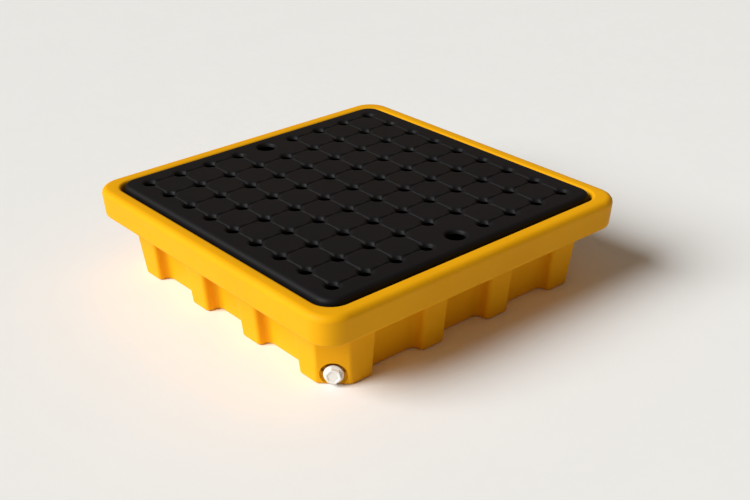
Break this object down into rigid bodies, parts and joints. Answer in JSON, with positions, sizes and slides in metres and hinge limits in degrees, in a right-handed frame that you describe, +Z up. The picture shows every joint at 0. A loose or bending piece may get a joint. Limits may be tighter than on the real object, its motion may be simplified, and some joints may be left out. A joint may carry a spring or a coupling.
{
  "type": "spill containment pallet",
  "caption": "Square low spill pallet: fluted plastic sump tray with a hollow rim, a perforated lift-out deck and a screw drain plug.",
  "frame": {"origin": "on the floor, under the middle of the tray", "axes": "+Z up; the sides face X and Y; the finger holes lie along X; the drain is in the corner at +X and -Y"},
  "size_m": [0.6, 0.6, 0.15],
  "materials": {
    "tray_plastic": "golden yellow polyethylene, satin as moulded",
    "deck_plastic": "black polyethylene, satin, fine moulded grain",
    "insert_plastic": "light grey plastic, matte",
    "gasket_rubber": "black rubber",
    "plug_plastic": "natural white plastic, semi-gloss"
  },
  "bodies": {
    "tray": {"sump_tray": "tray_plastic", "drain_insert": "insert_plastic"},
    "deck": {"deck_grate": "deck_plastic"},
    "gasket": {"plug_gasket": "gasket_rubber"},
    "plug": {"drain_plug": "plug_plastic"}
  },
  "joints": [
    {"name": "deck_lift", "type": "slide", "parent": "tray", "child": "deck", "axis": [0, 0, 1], "range_m": [0, 0.2]},
    {"name": "plug_travel", "type": "slide", "parent": "tray", "child": "gasket", "axis": [0.7071, -0.7071, 0], "range_m": [0, 0.0128]},
    {"name": "plug_turn", "type": "hinge", "parent": "gasket", "child": "plug", "pos_m": [0.23849, -0.23849, 0.0175], "axis": [0.7071, -0.7071, 0], "range_deg": [0, 2520]}
  ],
  "couplings": [
    {"joint": "plug_travel", "follows": "plug_turn", "m_per_rad": 0.00028871}
  ]
}
